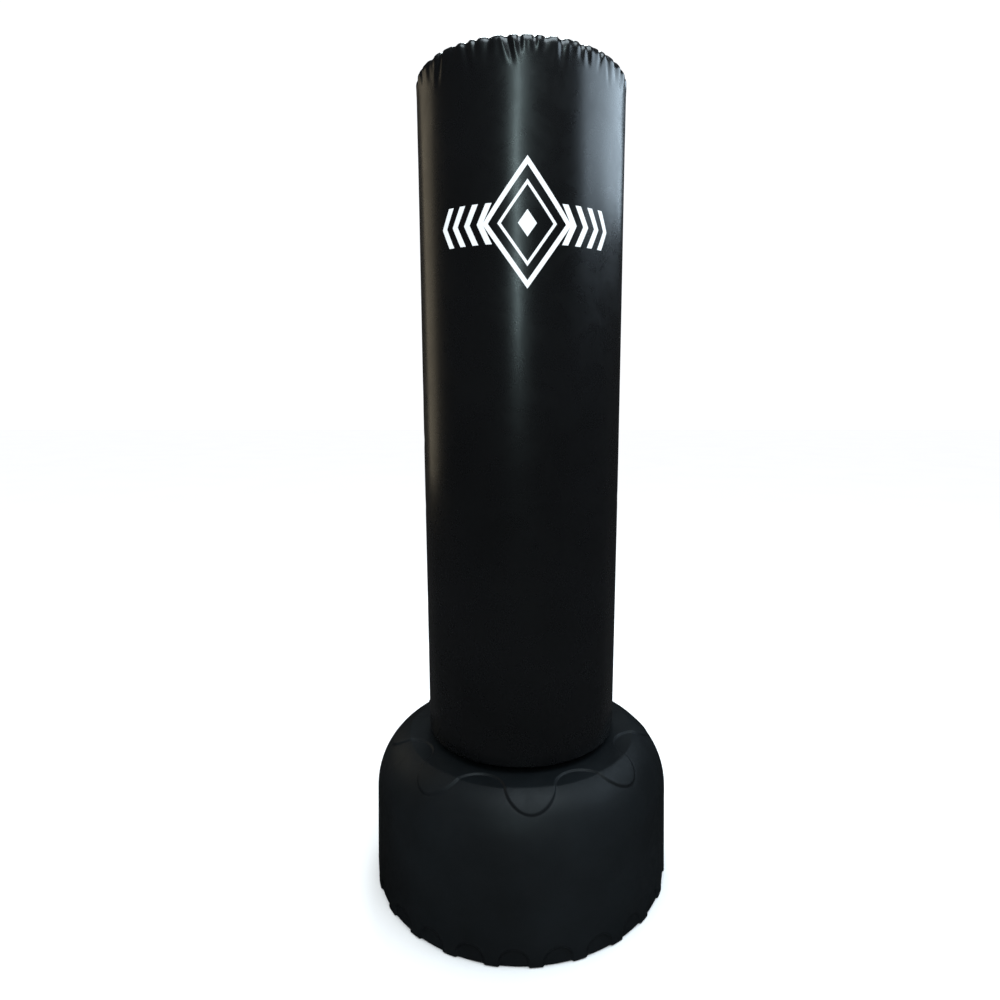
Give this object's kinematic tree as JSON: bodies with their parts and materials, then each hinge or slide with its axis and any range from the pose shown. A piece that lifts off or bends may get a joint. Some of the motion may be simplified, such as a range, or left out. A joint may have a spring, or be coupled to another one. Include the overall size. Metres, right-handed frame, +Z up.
{
  "type": "free standing bag",
  "caption": "Free standing training bag: water-filled moulded base with a screw filler cap, and a padded vinyl bag that screws onto a threaded neck and sways on a rubber ball mount.",
  "frame": {"origin": "on the floor, under the middle of the base", "axes": "+Z up along the bag's axis, front of the bag towards -Y, +X to the right seen from the front"},
  "size_m": [0.6904, 0.6904, 1.75],
  "materials": {
    "tank_plastic": "satin",
    "ballast": "gloss",
    "gasket_rubber": "matte",
    "cap_plastic": "satin",
    "collar_plastic": "satin",
    "steel": "satin",
    "mount_rubber": "matte",
    "core_plastic": "matte",
    "firm_foam": "matte",
    "soft_foam": "matte",
    "cover_vinyl": "gloss",
    "elastic": "matte"
  },
  "bodies": {
    "base": {"base_tank": "tank_plastic", "ballast_water": "ballast", "neck_insert": "collar_plastic", "filler_boss": "tank_plastic"},
    "cap_seal": {"cap_gasket": "gasket_rubber"},
    "cap": {"filler_cap": "cap_plastic"},
    "slip": {"slip_ring": "collar_plastic"},
    "collar": {"neck_collar": "collar_plastic", "mount_cup": "collar_plastic", "collar_bolts": "steel", "king_bolt": "steel", "king_nut": "steel", "dome_washer": "steel"},
    "mount": {"mount_ball": "mount_rubber"},
    "bag": {"core_foot": "core_plastic", "core_tube": "core_plastic", "core_screws": "steel", "core_flange": "core_plastic", "core_cap": "core_plastic", "inner_foam": "firm_foam", "outer_foam": "soft_foam", "top_pad": "soft_foam", "cover_sleeve": "cover_vinyl", "top_hem_elastic": "elastic", "bottom_hem_elastic": "elastic", "top_panel": "cover_vinyl"}
  },
  "joints": [
    {"name": "cap_rise", "type": "slide", "parent": "base", "child": "cap_seal", "axis": [-0.0349, 0.4988, 0.866], "range_m": [0, 0.012]},
    {"name": "cap_turn", "type": "hinge", "parent": "cap_seal", "child": "cap", "pos_m": [-0.01942, 0.27772, 0.32833], "axis": [-0.0349, 0.4988, 0.866], "range_deg": [0, 1080]},
    {"name": "bag_rise", "type": "slide", "parent": "base", "child": "slip", "axis": [0, 0, 1], "range_m": [0, 0.036]},
    {"name": "bag_turn", "type": "hinge", "parent": "slip", "child": "collar", "pos_m": [0, 0, 0.466], "axis": [0, 0, 1], "range_deg": [0, 1080]},
    {"name": "lean_x", "type": "hinge", "parent": "collar", "child": "mount", "pos_m": [0, 0, 0.466], "axis": [1, 0, 0], "range_deg": [-2.2, 2.2], "stiffness_Nm_per_rad": 2200},
    {"name": "lean_y", "type": "hinge", "parent": "mount", "child": "bag", "pos_m": [0, 0, 0.466], "axis": [0, 1, 0], "range_deg": [-2.2, 2.2], "stiffness_Nm_per_rad": 2200}
  ],
  "couplings": [
    {"joint": "cap_rise", "follows": "cap_turn", "m_per_rad": 0.0006366},
    {"joint": "bag_rise", "follows": "bag_turn", "m_per_rad": 0.0019098}
  ]
}
